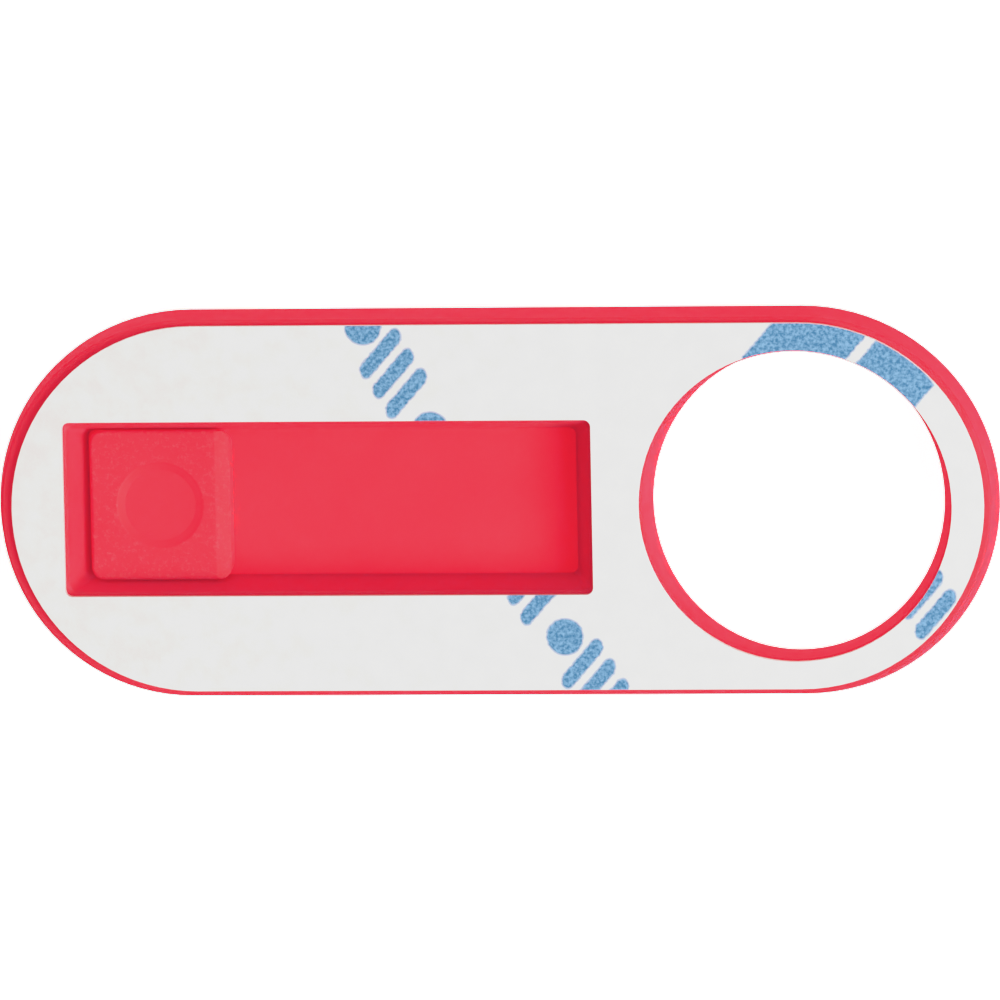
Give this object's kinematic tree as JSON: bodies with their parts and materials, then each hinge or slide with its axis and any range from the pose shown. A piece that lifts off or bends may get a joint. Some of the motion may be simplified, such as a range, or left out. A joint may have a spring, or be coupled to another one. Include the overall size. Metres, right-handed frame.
{
  "type": "sliding camera cover",
  "caption": "Slim stadium-shaped camera cover with a round camera hole, a dovetail-guided sliding shutter and an adhesive back under a peel-off liner.",
  "frame": {"origin": "on the shutter's outer face, which the cover lies on, under the middle of the base plate's outline", "axes": "+X along the cover towards the camera hole, +Z out of the adhesive back"},
  "size_m": [0.0424, 0.0164, 0.0033],
  "materials": {
    "red_plastic": "satin injection-moulded, the key's face frosted",
    "adhesive_tape": "translucent white acrylic tape",
    "liner_paper": "siliconised white paper with a mottled blue print"
  },
  "bodies": {
    "cover_base": {"base_plate": "red_plastic", "adhesive_pad": "adhesive_tape", "release_liner": "liner_paper"},
    "slider": {"shutter": "red_plastic"}
  },
  "joints": [
    {"name": "shutter_slide", "type": "slide", "parent": "cover_base", "child": "slider", "axis": [1, 0, 0], "range_m": [0, 0.0145]}
  ]
}
